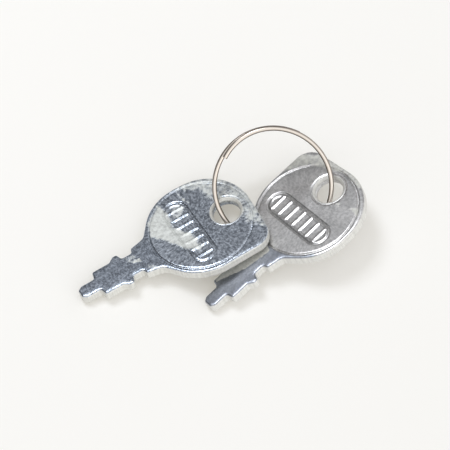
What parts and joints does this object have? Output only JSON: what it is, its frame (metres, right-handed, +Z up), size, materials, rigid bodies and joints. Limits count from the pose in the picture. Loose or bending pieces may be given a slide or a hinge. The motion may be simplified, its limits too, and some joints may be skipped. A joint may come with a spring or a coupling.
{
  "type": "flat switch keys on a key ring",
  "caption": "Flat stamped metal keys with round bows and stepped blades, threaded on an overlapped spring-wire ring, for turning a key-operated selector or ignition switch.",
  "frame": {"origin": "on the plane the pair lies on, under the middle of its bounding box", "axes": "+X runs across the pair, its longest side, towards the turned-over key's bow. +Z is up, away from the surface. +Y points from the blade tips towards the ring's high side"},
  "size_m": [0.0596, 0.0362, 0.0159],
  "materials": {
    "left_plate": "bright bluish zinc plate, grainy, with dull rubbed patches",
    "right_plate": "zinc plate, satin",
    "ring_wire": "warm nickel-plated spring wire"
  },
  "bodies": {
    "key_ring": {"key_ring": "ring_wire"},
    "left_key": {"left_key": "left_plate"},
    "right_key": {"right_key": "right_plate"}
  },
  "joints": [
    {"name": "left_key_travel", "type": "hinge", "parent": "key_ring", "child": "left_key", "pos_m": [0.01039, 0.00742, 0.00777], "axis": [0, -0.5934, 0.8049], "range_deg": [-60, 0]},
    {"name": "right_key_travel", "type": "hinge", "parent": "key_ring", "child": "right_key", "pos_m": [0.01039, 0.00742, 0.00777], "axis": [0, -0.5934, 0.8049], "range_deg": [0, 50]}
  ]
}
